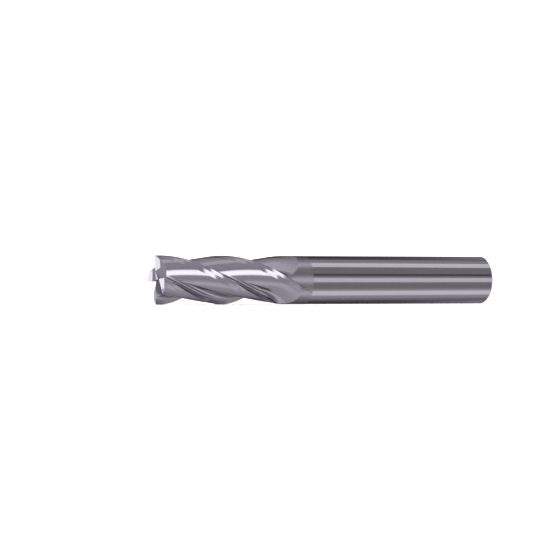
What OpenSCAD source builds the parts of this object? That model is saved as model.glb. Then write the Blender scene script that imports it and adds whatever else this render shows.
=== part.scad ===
// Square-end milling cutter: fluted carbide head brazed into a plain cylindrical steel shank.
// The tool's axis lies along X, cutting end towards -X. The origin is the centre of the
// shank's end face, so the whole tool lies at negative X.

/* [Cutter] */
// Cutting diameter, the same as the shank's
cutter_d = 10; // [6:1:16]
// Overall length, from the end teeth to the shank's end face
overall_len = 75; // [60:1:100]
// Number of flutes, and of teeth
flute_count = 4; // [4:1:5]
// Length of flute at full depth
flute_len = 25; // [15:1:30]
// Helix angle of the flutes, right hand
helix_angle = 30; // [20:1:45]
// Radial rake of the teeth
rake_angle = 8; // [4:1:12]
// Angle that the primary relief covers, behind the cutting edge
primary_turn = 8; // [5:1:10]
// Radius where the primary relief ends, over the cutting radius
primary_ratio = 0.962; // [0.955:0.001:0.975]
// Angle that the whole land covers, from the cutting edge to its heel
land_turn = 19; // [16:1:22]
// Radius of the land's heel, over the cutting radius
heel_ratio = 0.912; // [0.9:0.002:0.93]
// Radius where the flute's back ends and its gullet begins, over the cutting radius
back_ratio = 0.63; // [0.6:0.01:0.68]
// Radius of the arc of the flute's back, over the cutting radius
back_curve = 0.75; // [0.7:0.01:0.9]
// Radius of the wheel that leaves the flute's run-out
wheel_r = 10; // [8:1:14]
// How much sooner the wheel leaves the tooth's face than the land's edge
exit_lead = 8; // [0:1:8]
// Plain collar between the run-out and the braze line
collar_len = 2; // [0.5:0.5:4]
// Turn of the first tooth about the tool's axis, from the +Y side
tooth_phase = -6; // [-45:1:45]

/* [End teeth] */
// Width of the end teeth's primary relief
end_land = 2.1; // [1.5:0.1:2.5]
// Primary relief of the end teeth
end_relief = 9; // [5:1:12]
// Secondary relief of the end teeth
end_clearance = 38; // [25:1:40]
// Fall of the end teeth towards the centre
dish_angle = 2; // [1:0.5:4]
// Depth of the gash beside the centre of the end face
gash_start = 0.6; // [0.4:0.1:0.8]
// Slope of the gash floor, from the centre out to the flute
gash_angle = 13; // [10:1:20]
// Slope of the gash's side, down to the next tooth's face
gash_side = 20; // [15:1:30]

/* [Shank and joint] */
// Diameter of the head's spigot, over the shank's diameter
spigot_ratio = 0.6; // [0.4:0.05:0.7]
// Length of the spigot inside the shank
spigot_len = 12; // [8:1:20]
// Thickness of the braze film between head and shank
braze_gap = 0.1; // [0.05:0.01:0.15]
// Chamfer on the shank's end
shank_chamfer = 0.5; // [0.3:0.1:1]

/* [Hidden] */
$fn = 96;

cutter_r = cutter_d / 2;
lead = PI * cutter_d / tan(helix_angle);
tooth_pitch = 360 / flute_count;

// The flute's section lies in the tooth's own frame: its cutting edge is at [cutter_r, 0].
// The land is two flats, and the back is an arc from the land's heel to the gullet
back_turn = tooth_pitch - 20;
back_end = polar(cutter_r * back_ratio, back_turn);
heel = polar(cutter_r * heel_ratio, land_turn);
land_corners = [[cutter_r, 0], polar(cutter_r * primary_ratio, primary_turn), heel];
back_r = cutter_r * back_curve;
back_half = norm(back_end - heel) / 2;
chord_side = [heel[1] - back_end[1], back_end[0] - heel[0]] / (2 * back_half);
back_centre = (heel + back_end) / 2 + chord_side * sqrt(back_r ^ 2 - back_half ^ 2);

// The tooth's face is straight, from the next edge inwards. The gullet's arc carries on from
// the end of the back and touches the face
next_edge = polar(cutter_r, tooth_pitch);
face_way = -polar(1, tooth_pitch - rake_angle);
face_side = [-face_way[1], face_way[0]];
back_side = (back_end - back_centre) / back_r;
back_from = atan2(heel[1] - back_centre[1], heel[0] - back_centre[0]);
back_to = atan2(back_side[1], back_side[0]);
gullet_r = (back_end - next_edge) * face_side / (1 - back_side * face_side);
gullet_centre = back_end + gullet_r * back_side;
gullet_sweep = acos(back_side * face_side);
face_foot = gullet_centre - gullet_r * face_side;
core_r = norm(gullet_centre) - gullet_r;
flute_depth = cutter_r - core_r;

// The run-out is as long as the wheel takes to climb from the core to the outside
runout_len = sqrt(2 * wheel_r * flute_depth - flute_depth ^ 2);
flute_end = flute_len + runout_len;
head_len = flute_end + collar_len;
spigot_r = cutter_r * spigot_ratio;
socket_r = spigot_r + braze_gap;

// Points on a tooth's land, on the flute's back, in the gullet and on the tooth's face
land_points = len(land_corners);
back_points = 8;
gullet_points = 5;
face_points = 2;
tooth_points = land_points + back_points + gullet_points + face_points;
ring_points = flute_count * tooth_points;
// Distance from the tip at which the end teeth have blended into the plain flutes
end_blend_len = 4;

function polar(r, turn) = r * [cos(turn), sin(turn)];

// Height by which the wheel has climbed at distance s from the tip
function lift(s) = s <= flute_len ? 0
    : wheel_r - sqrt(max(0, wheel_r ^ 2 - (s - flute_len) ^ 2));

// A point on the flute's back, at fraction t from the heel to the gullet
function back_point(t) =
    back_centre + polar(back_r, back_from + (back_to - back_from) * t);

// A point in the gullet, at fraction t from the back to the tooth's face
function gullet_point(t) =
    gullet_centre - polar(gullet_r, back_to - gullet_sweep * t);

function face_point(t) = face_foot + (next_edge - face_foot) * t;

// Point k of one tooth: land, back, gullet, face
function tooth_point(k) =
    k < land_points ? land_corners[k]
    : k < land_points + back_points ? back_point((k - land_points + 1) / back_points)
    : k < land_points + back_points + gullet_points
        ? gullet_point((k - land_points - back_points + 1) / gullet_points)
    : face_point((k - tooth_points + face_points + 1) / (face_points + 1));

// [radius, angle in the tooth's frame, tooth] of point j of the section at distance s. The
// wheel lies square to the flute, so it leaves the tooth's face before the land's heel
function section_point(j, s) =
    let (p = tooth_point(j % tooth_points),
         turn = atan2(p[1], p[0]),
         lead_len = exit_lead * (turn / tooth_pitch - 0.5))
    [min(cutter_r, norm(p) + lift(s + lead_len)), turn, floor(j / tooth_points)];

// A place on the tool, from radius, angle behind the first edge and distance from the tip
function place(r, turn, s) =
    let (a = tooth_phase + turn + 360 * s / lead)
    [s - overall_len, r * cos(a), r * sin(a)];

// Depth of the end face behind the tip: relief behind this edge, gash before the next one
function end_depth(r, turn) =
    let (behind = r * sin(min(90, max(0, turn))),
         ahead = r * sin(min(90, tooth_pitch - turn)),
         out = r * cos(min(90, tooth_pitch - turn)),
         relief = min(behind, end_land) * tan(end_relief)
             + max(0, behind - end_land) * tan(end_clearance),
         gash = gash_start + out * tan(gash_angle) - ahead * tan(gash_side),
         dish = (cutter_r - r) * tan(dish_angle))
    dish + max(relief, gash);

// End-face ring at fraction q of the section's radius
function end_ring(q) = [for (j = [0:ring_points - 1])
    let (p = section_point(j, 0), depth = end_depth(q * p[0], p[1]))
    place(q * p[0], p[1] + p[2] * tooth_pitch, depth)];

// Flute ring at distance s, stretched forward to meet the end face
function flute_ring(s) = [for (j = [0:ring_points - 1])
    let (p0 = section_point(j, 0),
         depth = end_depth(p0[0], p0[1]),
         own = s < end_blend_len ? depth + (end_blend_len - depth) * s / end_blend_len : s,
         p = section_point(j, own))
    place(p[0], p[1] + p[2] * tooth_pitch, own)];

function round_ring(r, s) = [for (j = [0:ring_points - 1])
    place(r, 360 * j / ring_points, s)];

end_fractions = [0.2, 0.4, 0.6, 0.8];
flute_steps = [for (s = [0:1:flute_len]) s];
runout_steps = [for (k = [1:10]) flute_len + runout_len * k / 10];
head_rings = concat(
    [for (q = end_fractions) end_ring(q)],
    [for (s = flute_steps) flute_ring(s)],
    [for (s = runout_steps) flute_ring(s)],
    [round_ring(cutter_r, flute_end + collar_len / 2),
     round_ring(cutter_r, head_len),
     round_ring(spigot_r, head_len),
     round_ring(spigot_r, head_len + spigot_len)]);

// A closed skin over rings of equal point counts, with a point at each end
module skin(rings, first, last) {
    n = len(rings[0]);
    points = concat([first], [for (ring = rings) each ring], [last]);
    end = len(points) - 1;
    back = end - n;
    faces = concat(
        [for (j = [0:n - 1]) [0, 1 + j, 1 + (j + 1) % n]],
        [for (i = [0:len(rings) - 2], j = [0:n - 1])
            let (a = 1 + i * n + j, b = 1 + i * n + (j + 1) % n) each
            [[a, a + n, b + n], [a, b + n, b]]],
        [for (j = [0:n - 1]) [back + j, end, back + (j + 1) % n]]);
    polyhedron(points, faces);
}

// Turned shape about the X axis; the outline is [distance from the tip, radius]
module turned(outline) {
    translate([-overall_len, 0, 0])
        rotate([0, 90, 0])
            rotate_extrude()
                polygon([for (p = outline) [p[1], p[0]]]);
}

// Cemented-carbide head: helical teeth, end teeth, run-out, collar and spigot
module cutting_head() {
    color([0.56, 0.55, 0.60])
        skin(head_rings,
             [end_depth(0, 0) - overall_len, 0, 0],
             [head_len + spigot_len - overall_len, 0, 0]);
}

// Silver-braze film round the spigot, behind the head's shoulder and at the socket's end
module braze_joint() {
    front = head_len;
    face = head_len + braze_gap;
    bottom = head_len + spigot_len;
    color([0.80, 0.77, 0.66])
        turned([[front, spigot_r], [front, cutter_r], [face, cutter_r], [face, socket_r],
                [bottom + braze_gap, socket_r], [bottom + braze_gap, 0], [bottom, 0],
                [bottom, spigot_r]]);
}

// Ground steel shank with its socket and end chamfer
module shank() {
    face = head_len + braze_gap;
    bottom = head_len + spigot_len + braze_gap;
    color([0.72, 0.71, 0.74])
        turned([[face, socket_r], [face, cutter_r], [overall_len - shank_chamfer, cutter_r],
                [overall_len, cutter_r - shank_chamfer], [overall_len, 0], [bottom, 0],
                [bottom, socket_r]]);
}

cutting_head();
braze_joint();
shank();
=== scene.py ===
import math
from math import radians

import bmesh
import bpy
from mathutils import Matrix, Vector


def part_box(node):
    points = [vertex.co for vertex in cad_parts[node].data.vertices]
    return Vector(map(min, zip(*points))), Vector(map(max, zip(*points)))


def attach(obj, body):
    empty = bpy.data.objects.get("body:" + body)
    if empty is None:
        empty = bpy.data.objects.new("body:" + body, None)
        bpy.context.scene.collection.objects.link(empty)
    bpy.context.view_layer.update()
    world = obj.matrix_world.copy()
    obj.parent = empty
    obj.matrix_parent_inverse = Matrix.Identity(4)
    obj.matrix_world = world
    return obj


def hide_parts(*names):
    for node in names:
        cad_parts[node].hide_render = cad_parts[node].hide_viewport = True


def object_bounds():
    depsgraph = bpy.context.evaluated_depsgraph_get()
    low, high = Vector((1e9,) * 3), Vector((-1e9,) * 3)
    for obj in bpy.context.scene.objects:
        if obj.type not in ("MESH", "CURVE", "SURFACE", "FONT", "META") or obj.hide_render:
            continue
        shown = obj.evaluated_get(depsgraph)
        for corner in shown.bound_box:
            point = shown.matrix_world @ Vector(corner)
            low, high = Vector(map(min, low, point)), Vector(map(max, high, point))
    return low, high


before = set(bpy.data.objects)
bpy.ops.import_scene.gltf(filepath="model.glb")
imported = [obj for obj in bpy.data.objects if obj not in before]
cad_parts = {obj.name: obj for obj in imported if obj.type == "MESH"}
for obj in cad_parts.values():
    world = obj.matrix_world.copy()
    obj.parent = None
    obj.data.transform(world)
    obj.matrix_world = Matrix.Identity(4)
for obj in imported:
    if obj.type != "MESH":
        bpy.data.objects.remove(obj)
cad_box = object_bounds()


# Camera: a long lens level with the tool's axis, looking slightly along it from the cutting
# end, so that the end teeth show and the far end is only a little smaller.
tool_start = cad_box[0].x
aim = Vector((tool_start + 0.02755, 0, 0))
camera_distance = 0.5
camera_turn = radians(-24)
camera_back = Vector((math.sin(camera_turn), -math.cos(camera_turn), 0))
camera_data = bpy.data.cameras.new("camera")
camera_data.lens = 156
camera_data.sensor_width = 36
camera = bpy.data.objects.new("camera", camera_data)
camera.location = aim + camera_back * camera_distance
camera.rotation_euler = (-camera_back).to_track_quat("-Z", "Y").to_euler()
bpy.context.collection.objects.link(camera)
bpy.context.scene.camera = camera
bpy.context.scene.view_settings.view_transform = "Standard"


# Studio: the tool lies in a white tent. Long soft boxes run beside it, parallel to its axis,
# with dark gaps between them, and polished steel shows both as streaks along the shank.
def hex_colour(code):
    """An sRGB hex colour as linear red, green, blue and alpha."""
    parts = [int(code[i:i + 2], 16) / 255 for i in (1, 3, 5)]
    return [p / 12.92 if p <= 0.04045 else ((p + 0.055) / 1.055) ** 2.4 for p in parts] + [1]


def add_node(tree, kind, inputs=(), **settings):
    """A new node with its settings. Each input takes a value, a socket or a node's first output."""
    new = tree.nodes.new(kind)
    for name, value in settings.items():
        setattr(new, name, value)
    for name, value in dict(inputs).items():
        if isinstance(value, bpy.types.Node):
            value = value.outputs[0]
        if isinstance(value, bpy.types.NodeSocket):
            tree.links.new(value, new.inputs[name])
        else:
            new.inputs[name].default_value = value
    return new


def soft_band(tree, value, low, high, blur):
    """1 where value is between low and high, falling to 0 over the blur at each side."""
    sides = []
    for edge, start, end in ((low, 0, 1), (high, 1, 0)):
        sides.append(add_node(tree, "ShaderNodeMapRange", {
            "Value": value, "From Min": edge - blur, "From Max": edge + blur,
            "To Min": start, "To Max": end}, interpolation_type="SMOOTHSTEP"))
    return add_node(tree, "ShaderNodeMath", enumerate(sides), operation="MULTIPLY")


def add_box(tree, glow, height, heights, way_x, sides, brightness):
    """Adds a soft box to the glow: its low, high and blur in height and along the tool."""
    up_and_down = soft_band(tree, height, *heights)
    along = soft_band(tree, way_x, *sides)
    box = add_node(tree, "ShaderNodeMath", {0: up_and_down, 1: along}, operation="MULTIPLY")
    return add_node(tree, "ShaderNodeMath", {0: box, 1: brightness, 2: glow},
                    operation="MULTIPLY_ADD")


world = bpy.data.worlds.new("studio")
bpy.context.scene.world = world
world.use_nodes = True
world.cycles.sampling_method = "NONE"
studio = world.node_tree
studio.nodes.clear()
way = add_node(studio, "ShaderNodeSeparateXYZ", {
    0: add_node(studio, "ShaderNodeTexCoord").outputs["Generated"]}).outputs
toward_front = add_node(studio, "ShaderNodeMath", {0: way["Y"], 1: -1}, operation="MULTIPLY")
turn_up = add_node(studio, "ShaderNodeMath", {0: way["Z"], 1: toward_front},
                   operation="ARCTAN2")
height = add_node(studio, "ShaderNodeMath", {0: turn_up, 1: math.degrees(1)},
                  operation="MULTIPLY")
# Height from the front either way, up over the tool or down under it
back_height = add_node(studio, "ShaderNodeMath", {0: height}, operation="ABSOLUTE")
# Each strip: lowest and highest angle about the tool's axis from the front, blur, brightness
strips = (
    (-118, 118, 14, 0.19),
    (65, 89, 2.5, 0.60),
    (84, 112, 6, 0.10),
    (19, 30, 3, -0.15),
    (-10, 10, 2.5, 0.48),
    (-15, 17, 3, 0.06),
    (-80, -54, 6, 0.48),
    (-100, -44, 8, 0.14),
    (150, 190, 12, 0.12),
    (-190, -150, 12, 0.12),
)
glow = 0.06
for low, high, blur, brightness in strips:
    strip = soft_band(studio, height, low, high, blur)
    glow = add_node(studio, "ShaderNodeMath", {0: strip, 1: brightness, 2: glow},
                    operation="MULTIPLY_ADD")
# Straight beside the tool a sheet of diffuser softens the strips
diffuser = soft_band(studio, way["X"], -0.27, 0.27, 0.06)
softened = add_node(studio, "ShaderNodeMath", {0: glow, 1: 0.45, 2: 0.37},
                    operation="MULTIPLY_ADD")
glow = add_node(studio, "ShaderNodeMix", {"Factor": diffuser, "A": glow, "B": softened},
                data_type="FLOAT")
# The key light is a soft box near the camera, seen by faces turned towards the cutting end
glow = add_box(studio, glow, height, (-15, 15, 3), way["X"], (-0.5, 0.24, 0.06), 1.5)
# Behind the tool and past its cutting end, a second soft box lights the end teeth's relief,
# and a fainter sheet round it lights the gashes between them
glow = add_box(studio, glow, back_height, (167, 193, 4), way["X"], (-0.78, -0.2, 0.05), 1.2)
glow = add_box(studio, glow, back_height, (125, 205, 6), way["X"], (-0.86, -0.1, 0.06), 0.3)
# Behind the tool, towards its shank end, hangs another plain sheet
glow = add_box(studio, glow, back_height, (122, 205, 8), way["X"], (0.52, 1.2, 0.06), 0.3)
# Looking along the axis the strips would meet in a star, so a plain card hangs there
beside = soft_band(studio, way["X"], -0.86, 0.86, 0.06)
glow = add_node(studio, "ShaderNodeMix", {"Factor": beside, "A": 0.5, "B": glow},
                data_type="FLOAT")
strip_light = add_node(studio, "ShaderNodeBackground", {
    "Color": hex_colour("#FBF9FF"), "Strength": glow})
tent_light = add_node(studio, "ShaderNodeBackground", {
    "Color": hex_colour("#FFFFFF"), "Strength": 1.8})
ray = add_node(studio, "ShaderNodeLightPath").outputs
light = add_node(studio, "ShaderNodeMixShader", {
    0: ray["Is Glossy Ray"], 1: tent_light, 2: strip_light})
add_node(studio, "ShaderNodeOutputWorld", {"Surface": light})


# Floor: matt white card under the tool. The shank's reflections come from the soft boxes,
# so the card itself stays out of them.
def new_object(name, mesh_builder):
    """An object at the origin, made from a bmesh, which it frees."""
    mesh = bpy.data.meshes.new(name)
    mesh_builder.to_mesh(mesh)
    mesh_builder.free()
    made = bpy.data.objects.new(name, mesh)
    bpy.context.collection.objects.link(made)
    return made


def new_material(name):
    """A material with an empty node tree, and the tree to build it in."""
    material = bpy.data.materials.new(name)
    material.use_nodes = True
    material.node_tree.nodes.clear()
    return material, material.node_tree


card_half = 3
bm = bmesh.new()
bmesh.ops.create_grid(bm, x_segments=1, y_segments=1, size=card_half)
bmesh.ops.translate(bm, verts=bm.verts, vec=(0, 0, cad_box[0].z))
floor = new_object("floor", bm)
card_paint, tree = new_material("matt_white_card")
card_face = add_node(tree, "ShaderNodeBsdfDiffuse", {"Color": hex_colour("#F4F4F4")})
add_node(tree, "ShaderNodeOutputMaterial", {"Surface": card_face})
floor.data.materials.append(card_paint)
floor.visible_glossy = False


# Cutting head: a cemented-carbide rod, ground from solid. Each helical flute is one wheel
# pass: a straight tooth face, a small gullet and a long convex back up to the land's heel.
mm = 0.001
cutter_r = cad_box[1].z
flute_count = 4
flute_len = 25 * mm
helix_angle = radians(30)
twist = math.tan(helix_angle) / cutter_r
tooth_turn = 2 * math.pi / flute_count
first_tooth = radians(-6)
primary_turn = radians(8)
primary_r = 0.962 * cutter_r
land_turn = radians(19)
heel_r = 0.912 * cutter_r
back_turn = radians(70)
back_end_r = 0.63 * cutter_r
back_r = 0.75 * cutter_r
rake = radians(8)
wheel_r = 10 * mm
exit_lead = 8 * mm
collar_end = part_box("braze_joint")[0].x
spigot_r = 0.6 * cutter_r
spigot_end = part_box("cutting_head")[1].x


def polar(r, turn):
    """A point of the cross-section, turned from the first edge's radius."""
    return Vector((0, r * math.cos(turn), r * math.sin(turn)))


# The back is an arc from the land's heel. The gullet's arc carries on from its end and
# touches the next tooth's face
heel = polar(heel_r, land_turn)
back_end = polar(back_end_r, back_turn)
chord = back_end - heel
chord_side = Vector((0, -chord.z, chord.y)).normalized()
back_centre = (heel + back_end) / 2 + chord_side * math.sqrt(back_r ** 2 - chord.length_squared / 4)
back_side = (back_end - back_centre).normalized()
back_sweep = (heel - back_centre).angle(back_side)
next_edge = polar(cutter_r, tooth_turn)
face_way = -polar(1, tooth_turn - rake)
face_side = Vector((0, -face_way.z, face_way.y))
gullet_r = (back_end - next_edge).dot(face_side) / (1 - back_side.dot(face_side))
gullet_centre = back_end + gullet_r * back_side
gullet_turn = back_side.angle(face_side)

bm = bmesh.new()


def bend(start, centre, angle, steps):
    """Draws an arc from a vertex about a centre and returns its last vertex."""
    arc = bmesh.ops.spin(bm, geom=[start], cent=centre, axis=(1, 0, 0), angle=angle,
                         steps=steps, use_merge=False, dvec=(0, 0, 0))
    return [g for g in arc["geom_last"] if isinstance(g, bmesh.types.BMVert)][0]


def draw_to(start, end, steps):
    """Draws a straight line from a vertex in equal steps and returns its last vertex."""
    step = (end - start.co) / steps
    for _ in range(steps):
        line = bmesh.ops.extrude_vert_indiv(bm, verts=[start])
        start = line["verts"][0]
        start.co += step
    return start


for tooth in range(flute_count):
    spun = Matrix.Rotation(tooth * tooth_turn, 3, "X")
    edge = bm.verts.new(spun @ polar(cutter_r, 0))
    land = draw_to(edge, spun @ polar(primary_r, primary_turn), 4)
    land = draw_to(land, spun @ heel, 4)
    back = bend(land, spun @ back_centre, back_sweep, 36)
    flute = bend(back, spun @ gullet_centre, -gullet_turn, 18)
    draw_to(flute, spun @ next_edge, 8)
bmesh.ops.remove_doubles(bm, verts=bm.verts, dist=0.001 * mm)

# The closed section runs back along the helix in small steps
head_len = collar_end - tool_start
ring_steps = 206
step_len = head_len / ring_steps
bmesh.ops.rotate(bm, verts=bm.verts, cent=(0, 0, 0), matrix=Matrix.Rotation(first_tooth, 3, "X"))
bmesh.ops.translate(bm, verts=bm.verts, vec=(tool_start, 0, 0))
section = list(bm.verts) + list(bm.edges)
swept = bmesh.ops.spin(bm, geom=section, cent=(0, 0, 0), axis=(1, 0, 0), steps=ring_steps,
                       angle=twist * head_len, dvec=(step_len, 0, 0), use_merge=False)
rear_loop = [g for g in swept["geom_last"] if isinstance(g, bmesh.types.BMEdge)]

# Run-out: the wheel climbs out of each flute on its own radius. It lies square to the flute,
# so it leaves the tooth's face first and the heel of the tooth ahead last.
for v in bm.verts:
    s = v.co.x - tool_start
    radial = Vector((0, v.co.y, v.co.z))
    turn = (math.atan2(radial.z, radial.y) - first_tooth - twist * s) % tooth_turn
    climb_len = s - flute_len + exit_lead * (turn / tooth_turn - 0.5)
    if climb_len > 0:
        climb = wheel_r - math.sqrt(max(0, wheel_r ** 2 - climb_len ** 2))
        radial *= min(cutter_r, radial.length + climb) / radial.length
        v.co.y, v.co.z = radial.y, radial.z

# Spigot behind the collar, then both ends are closed
shoulder = bmesh.ops.extrude_edge_only(bm, edges=rear_loop)["geom"]
ring = [g for g in shoulder if isinstance(g, bmesh.types.BMVert)]
bmesh.ops.scale(bm, verts=ring, vec=(1, spigot_r / cutter_r, spigot_r / cutter_r))
ring_edges = [g for g in shoulder if isinstance(g, bmesh.types.BMEdge)
              and all(v in set(ring) for v in g.verts)]
spigot = bmesh.ops.extrude_edge_only(bm, edges=ring_edges)["geom"]
spigot_ring = [g for g in spigot if isinstance(g, bmesh.types.BMVert)]
bmesh.ops.translate(bm, verts=spigot_ring, vec=(spigot_end - collar_end, 0, 0))
bmesh.ops.holes_fill(bm, edges=bm.edges, sides=0)
bmesh.ops.recalc_face_normals(bm, faces=bm.faces)
head = new_object("cutting_head_ground", bm)

# End teeth: one wheel pass leaves the two relief faces behind each edge, and a second one
# cuts the gash in front of the next edge, which opens the centre into the flute.
end_land = 2.1 * mm
end_relief = radians(9)
end_clearance = radians(38)
dish = radians(2)
gash_start = 0.6 * mm
gash_angle = radians(13)
gash_side = radians(20)
reach = 1.3 * cutter_r
# The passes start in the air in front of the tool, and a hair off its axis, so that no face
# of a pass lies in another pass's
air = 2 * mm
hair = 0.01 * mm


def wheel_pass(name, near_outline, far_outline, turn):
    """A solid between two outlines, turned about the tool's axis to its tooth."""
    bm = bmesh.new()
    for outline in (near_outline, far_outline):
        bm.faces.new([bm.verts.new(p) for p in outline])
    bmesh.ops.bridge_loops(bm, edges=bm.edges)
    bmesh.ops.recalc_face_normals(bm, faces=bm.faces)
    bmesh.ops.rotate(bm, verts=bm.verts, cent=(0, 0, 0), matrix=Matrix.Rotation(turn, 3, "X"))
    bmesh.ops.translate(bm, verts=bm.verts, vec=(tool_start, 0, 0))
    return new_object(name, bm)


def relief_outline(out):
    """The end relief's outline at a distance out along the edge, which is dished inwards."""
    low = (cutter_r - out) * math.tan(dish)
    land = low + end_land * math.tan(end_relief)
    back = land + (reach - end_land) * math.tan(end_clearance)
    return [(-air, out, -hair / 2), (low, out, -hair / 2), (land, out, end_land),
            (back, out, reach), (-air, out, reach)]


def gash_outline(out):
    """The gash's outline at a distance out along the next edge, whose face is its wall."""
    floor_depth = cutter_r * math.tan(dish) + gash_start + out * math.tan(gash_angle)
    width = (floor_depth + 2 * air) / math.tan(gash_side)
    return [(-2 * air, 0, out), (floor_depth, 0, out), (-2 * air, width, out)]


def cut_away(target, cutter):
    """Cuts the cutter's shape out of the target and removes the cutter."""
    change = target.modifiers.new("grind", "BOOLEAN")
    change.operation = "DIFFERENCE"
    change.solver = "MANIFOLD"
    change.material_mode = "TRANSFER"
    change.object = cutter
    with bpy.context.temp_override(object=target, active_object=target):
        bpy.ops.object.modifier_apply(modifier=change.name)
    bpy.data.objects.remove(cutter)


def metal(name, colour, roughness, line_scale, line_depth, follow=None, dulled_at=None):
    """A bare ground metal. Its wheel lines follow the object's axes, or those of follow."""
    material, tree = new_material(name)
    place = add_node(tree, "ShaderNodeTexCoord").outputs["Object"]
    lines_place = follow(tree, place) if follow else place
    scaled = add_node(tree, "ShaderNodeMapping", {"Vector": lines_place, "Scale": line_scale})
    lines = add_node(tree, "ShaderNodeTexNoise", {
        "Vector": scaled, "Scale": 1, "Detail": 3, "Roughness": 0.6})
    cloudy = add_node(tree, "ShaderNodeTexNoise", {
        "Vector": place, "Scale": 1 / (4 * mm), "Detail": 2})
    shade = add_node(tree, "ShaderNodeMapRange", {
        "Value": lines, "From Min": 0.25, "From Max": 0.75, "To Min": 0.90, "To Max": 1.0})
    tint = add_node(tree, "ShaderNodeVectorMath", {
        0: hex_colour(colour)[:3], "Scale": shade}, operation="SCALE")
    rough = add_node(tree, "ShaderNodeMapRange", {
        "Value": cloudy, "From Min": 0.3, "From Max": 0.7,
        "To Min": roughness * 0.92, "To Max": roughness * 1.08})
    if dulled_at:
        rough = add_node(tree, "ShaderNodeMath", {0: rough, 1: dulled_at(tree, place)},
                         operation="ADD")
    bump = add_node(tree, "ShaderNodeBump", {
        "Height": lines, "Strength": 1, "Distance": line_depth})
    surface = add_node(tree, "ShaderNodeBsdfPrincipled", {
        "Base Color": tint, "Metallic": 1, "Roughness": rough, "Normal": bump})
    add_node(tree, "ShaderNodeOutputMaterial", {"Surface": surface})
    return material


def along_flute(tree, place):
    """Turns the object's coordinates back along the helix, so that x runs along the flute."""
    x = add_node(tree, "ShaderNodeSeparateXYZ", {0: place}).outputs["X"]
    turn = add_node(tree, "ShaderNodeMath", {0: x, 1: -twist, 2: twist * tool_start},
                    operation="MULTIPLY_ADD")
    return add_node(tree, "ShaderNodeVectorRotate", {"Vector": place, "Angle": turn},
                    rotation_type="X_AXIS")


def dulled_blank(tree, place):
    """The roughness that the blank's duller skin adds behind the flutes."""
    x = add_node(tree, "ShaderNodeSeparateXYZ", {0: place}).outputs["X"]
    return add_node(tree, "ShaderNodeMapRange", {
        "Value": x, "From Min": tool_start + flute_len + 0.5 * mm,
        "From Max": tool_start + flute_len + 4 * mm, "To Min": 0, "To Max": 0.17},
        interpolation_type="SMOOTHSTEP")


# Carbide ground by a diamond wheel: grey with a violet cast, satin, with fine lines that
# run along the flutes. The lines are drawn at 0.12 mm, coarser than the wheel's grit.
carbide = metal("cemented_carbide_flute_ground", "#B9B5BF", 0.14,
                (1 / (7 * mm), 1 / (0.12 * mm), 1 / (0.12 * mm)), 0.003 * mm,
                follow=along_flute, dulled_at=dulled_blank)
# The end is ground across the teeth, so its lines stand at right angles to the flutes'.
carbide_end = metal("cemented_carbide_end_ground", "#C2BEC8", 0.22,
                    (1 / (0.1 * mm), 1 / (0.1 * mm), 1 / (3 * mm)), 0.0015 * mm)
head.data.materials.append(carbide)

for tooth in range(flute_count):
    turn = first_tooth + tooth * tooth_turn
    for outline in (relief_outline, gash_outline):
        cutter = wheel_pass("wheel_pass", outline(hair), outline(reach), turn)
        cutter.data.materials.append(carbide_end)
        cut_away(head, cutter)


def smooth_with_creases(piece, crease):
    """Shades a piece smooth, apart from the edges that turn by more than the crease angle."""
    bm = bmesh.new()
    bm.from_mesh(piece.data)
    for face in bm.faces:
        face.smooth = True
    for edge in bm.edges:
        edge.smooth = edge.is_manifold and edge.calc_face_angle(0) < crease
    bm.to_mesh(piece.data)
    bm.free()


smooth_with_creases(head, radians(6))
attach(head, "root")
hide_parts("cutting_head")


# Braze joint: a thin silver-braze film in the gap round the spigot and behind the shoulder.
# Only its edge shows, a hairline ring that was ground flush with the head and the shank.
silver_braze = metal("silver_braze_ground_flush", "#BDB9B6", 0.22,
                     (1 / (0.05 * mm), 1 / (2 * mm), 1 / (2 * mm)), 0.001 * mm)
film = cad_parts["braze_joint"]
film.data.materials.clear()
film.data.materials.append(silver_braze)


# Shank: tool steel, turned, hardened and centreless ground to fit a collet, then polished.
# Its front end is bored for the spigot and its back edge is chamfered.
shank_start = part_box("shank")[0].x
shank_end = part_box("shank")[1].x
shank_r = cad_box[1].z
socket_r = spigot_r + 0.1 * mm
socket_end = spigot_end + 0.1 * mm
chamfer = 0.5 * mm
edge_break = 0.06 * mm
bm = bmesh.new()
outline = [(socket_end, 0), (socket_end, socket_r), (shank_start, socket_r),
           (shank_start, shank_r), (shank_end - chamfer, shank_r),
           (shank_end, shank_r - chamfer), (shank_end, 0)]
corners = [bm.verts.new((x, 0, r)) for x, r in outline]
for near, far in zip(corners, corners[1:]):
    bm.edges.new((near, far))
bmesh.ops.bevel(bm, geom=[corners[4], corners[5]], offset=edge_break, segments=3,
                profile=0.5, affect="VERTICES", material=-1)
bmesh.ops.spin(bm, geom=list(bm.verts) + list(bm.edges), cent=(0, 0, 0), axis=(1, 0, 0),
               angle=2 * math.pi, steps=192, use_merge=True, dvec=(0, 0, 0))
bmesh.ops.remove_doubles(bm, verts=bm.verts, dist=0.001 * mm)
bmesh.ops.recalc_face_normals(bm, faces=bm.faces)
shank = new_object("shank_ground", bm)
smooth_with_creases(shank, radians(25))
polished_steel = metal("tool_steel_centreless_ground", "#C9C6CE", 0.10,
                       (1 / (0.05 * mm), 1 / (9 * mm), 1 / (9 * mm)), 0.0002 * mm)
shank.data.materials.append(polished_steel)
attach(shank, "root")
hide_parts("shank")
